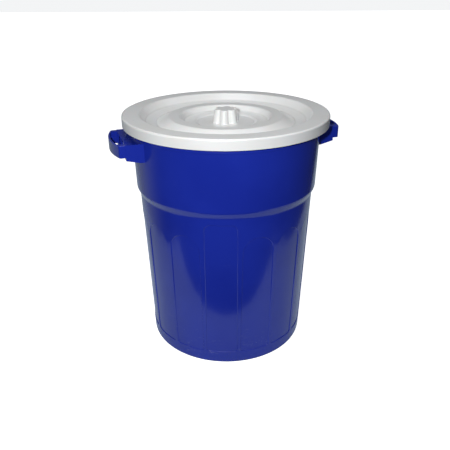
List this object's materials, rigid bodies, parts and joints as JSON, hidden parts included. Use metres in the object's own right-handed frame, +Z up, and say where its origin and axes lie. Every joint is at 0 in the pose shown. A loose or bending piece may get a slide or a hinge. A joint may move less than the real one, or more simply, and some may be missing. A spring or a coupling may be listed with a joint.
{
  "type": "open head drum",
  "caption": "Tapered open-head plastic drum with stepped shoulder, arched wall panels, side grab handles and a dished lift-off lid with a fluted knob.",
  "frame": {"origin": "middle of the foot ring, on the floor the drum stands on", "axes": "+Z up along the drum's axis; the two handles lie on the X axis, right_grip at +X; -Y is the front"},
  "size_m": [0.533, 0.468, 0.5678],
  "materials": {
    "drum_plastic": "glossy blue injection-moulded polypropylene",
    "grip_plastic": "glossy blue injection-moulded polypropylene",
    "lid_plastic": "satin-gloss off-white injection-moulded polypropylene",
    "knob_plastic": "satin-gloss white injection-moulded polypropylene",
    "washer_steel": "plain stainless steel",
    "screw_steel": "plain stainless steel"
  },
  "bodies": {
    "drum": {"drum_body": "drum_plastic", "left_grip": "grip_plastic", "right_grip": "grip_plastic"},
    "lid": {"lid": "lid_plastic", "lid_knob": "knob_plastic", "knob_washer": "washer_steel", "knob_screw": "screw_steel"}
  },
  "joints": [
    {"name": "lid_lift", "type": "slide", "parent": "drum", "child": "lid", "axis": [0, 0, 1], "range_m": [0, 0.06]}
  ]
}
